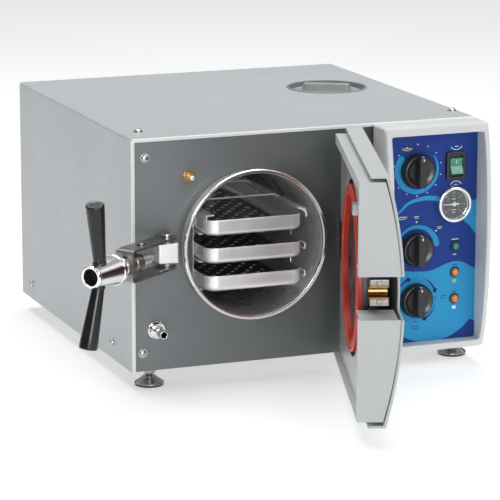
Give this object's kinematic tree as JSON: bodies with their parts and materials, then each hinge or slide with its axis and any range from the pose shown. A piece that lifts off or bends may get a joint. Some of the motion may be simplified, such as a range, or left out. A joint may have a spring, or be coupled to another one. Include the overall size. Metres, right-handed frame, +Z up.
{
  "type": "benchtop autoclave",
  "caption": "Tabletop steam steriliser with a round chamber and trays, a swing door, a screw closing arm and a knob control panel.",
  "frame": {"origin": "on the bench top, at the centre of the front left foot's underside; the middle of the cabinet is 192 mm to the right and 198 mm behind it", "axes": "+Z up, -Y towards the door and the operator, +X towards the control panel"},
  "size_m": [0.5394, 0.7621, 0.3055],
  "materials": {
    "cabinet_paint": "fine light grey powder coat",
    "panel_paint": "smooth dark grey enamel",
    "white_plastic": "satin off-white moulded plastic",
    "printed_plate": "blue screen print under satin lacquer",
    "black_plastic": "satin black moulded plastic",
    "chrome": "polished chrome plate",
    "stainless": "satin stainless steel",
    "steel": "zinc plated steel",
    "aluminium": "polished drawn aluminium",
    "bronze": "machined bearing bronze",
    "brass": "turned brass",
    "copper": "copper pipe",
    "silicone": "red-orange silicone",
    "felt": "off-white glass felt",
    "dial_paint": "dark grey dial",
    "needle_paint": "white needle",
    "gauge_glass": "clear flat glass",
    "green_lens": "translucent green plastic",
    "orange_lens": "translucent orange plastic",
    "hob_rubber": "black rubber"
  },
  "bodies": {
    "cabinet": {"cabinet_cover": "cabinet_paint", "base_plate": "steel", "rear_panel": "cabinet_paint", "front_panel": "panel_paint", "panel_screws": "chrome", "foot_pads": "hob_rubber", "foot_stems": "chrome", "control_bezel": "white_plastic", "control_plate": "printed_plate", "timer_unit": "steel", "thermostat_unit": "steel", "valve_unit": "brass", "gauge_case": "chrome", "gauge_dial": "dial_paint", "gauge_lens": "gauge_glass", "switch_housing": "black_plastic", "lamp_bodies": "black_plastic", "lamp_lens_green": "green_lens", "lamp_lenses_orange": "orange_lens", "chamber_shell": "stainless", "chamber_rim": "chrome", "heater_bands": "steel", "insulation_jacket": "felt", "chamber_saddles": "steel", "tray_rack": "stainless", "fill_port_dish": "panel_paint", "water_reservoir": "stainless", "water_pipes": "copper", "safety_valve": "brass", "power_inlet": "black_plastic", "door_switch_socket": "brass", "pivot_block": "stainless", "pivot_screws": "steel", "hinge_bracket": "steel", "hinge_pin": "steel"},
    "closing_arm": {"closing_yoke": "chrome"},
    "press_foot": {"pressure_foot": "chrome"},
    "press_screw": {"spindle": "chrome", "handle_hub": "chrome", "handle_grips": "black_plastic"},
    "door": {"door_outer_cover": "white_plastic", "door_inner_cover": "white_plastic", "door_inner_sheet": "stainless", "door_disc": "stainless", "door_gasket": "silicone", "door_bridge": "steel", "bridge_seat": "bronze", "door_stud": "steel"},
    "upper_tray": {"tray_1": "aluminium"},
    "middle_tray": {"tray_2": "aluminium"},
    "lower_tray": {"tray_3": "aluminium"},
    "timer_dial": {"timer_knob": "black_plastic"},
    "thermostat_dial": {"thermostat_knob": "black_plastic"},
    "valve_dial": {"valve_knob": "black_plastic"},
    "pressure_needle": {"gauge_needle": "needle_paint"},
    "power_switch": {"power_rocker": "green_lens"},
    "door_pin": {"door_switch_plunger": "brass"},
    "filler_cap": {"fill_cap": "panel_paint"},
    "drain_spigot": {"drain_valve": "chrome"}
  },
  "joints": [
    {"name": "door_swing", "type": "hinge", "parent": "cabinet", "child": "door", "pos_m": [0.2503, -0.0731, 0.1665], "axis": [0, 0, 1], "range_deg": [-71.7, 20]},
    {"name": "arm_swing", "type": "hinge", "parent": "cabinet", "child": "closing_arm", "pos_m": [0.0105, -0.033, 0.1665], "axis": [0, 0, -1], "range_deg": [-53.7, 25]},
    {"name": "foot_advance", "type": "slide", "parent": "closing_arm", "child": "press_foot", "axis": [-0.8059, -0.592, 0], "range_m": [-0.00302, 0.00102]},
    {"name": "handle_turn", "type": "hinge", "parent": "press_foot", "child": "press_screw", "pos_m": [0.0105, -0.033, 0.1665], "axis": [-0.8059, -0.592, 0], "range_deg": [-270, 90]},
    {"name": "upper_tray_slide", "type": "slide", "parent": "cabinet", "child": "upper_tray", "axis": [0, -1, 0], "range_m": [0, 0.068]},
    {"name": "middle_tray_slide", "type": "slide", "parent": "cabinet", "child": "middle_tray", "axis": [0, -1, 0], "range_m": [0, 0.068]},
    {"name": "lower_tray_slide", "type": "slide", "parent": "cabinet", "child": "lower_tray", "axis": [0, -1, 0], "range_m": [0, 0.068]},
    {"name": "timer_turn", "type": "hinge", "parent": "cabinet", "child": "timer_dial", "pos_m": [0.3252, -0.0422, 0.2432], "axis": [0, 1, 0], "range_deg": [0, 300]},
    {"name": "thermostat_turn", "type": "hinge", "parent": "cabinet", "child": "thermostat_dial", "pos_m": [0.3252, -0.0422, 0.147], "axis": [0, 1, 0], "range_deg": [-60, 90]},
    {"name": "valve_turn", "type": "hinge", "parent": "cabinet", "child": "valve_dial", "pos_m": [0.3252, -0.0422, 0.084], "axis": [0, 1, 0], "range_deg": [-90, 180]},
    {"name": "needle_sweep", "type": "hinge", "parent": "cabinet", "child": "pressure_needle", "pos_m": [0.3738, -0.0422, 0.199], "axis": [0, 1, 0], "range_deg": [-45, 225]},
    {"name": "rocker_tilt", "type": "hinge", "parent": "cabinet", "child": "power_switch", "pos_m": [0.3765, -0.0446, 0.2457], "axis": [1, 0, 0], "range_deg": [0, 20]},
    {"name": "door_pin_press", "type": "slide", "parent": "cabinet", "child": "door_pin", "axis": [0, -1, 0], "range_m": [-0.003, 0]},
    {"name": "cap_lift", "type": "slide", "parent": "cabinet", "child": "filler_cap", "axis": [0, 0, 1], "range_m": [0, 0.03]},
    {"name": "drain_turn", "type": "hinge", "parent": "cabinet", "child": "drain_spigot", "pos_m": [0.002, -0.027, 0.071], "axis": [0, -1, 0], "range_deg": [0, 180]}
  ],
  "couplings": [
    {"joint": "foot_advance", "follows": "handle_turn", "m_per_rad": 0.00063662}
  ]
}
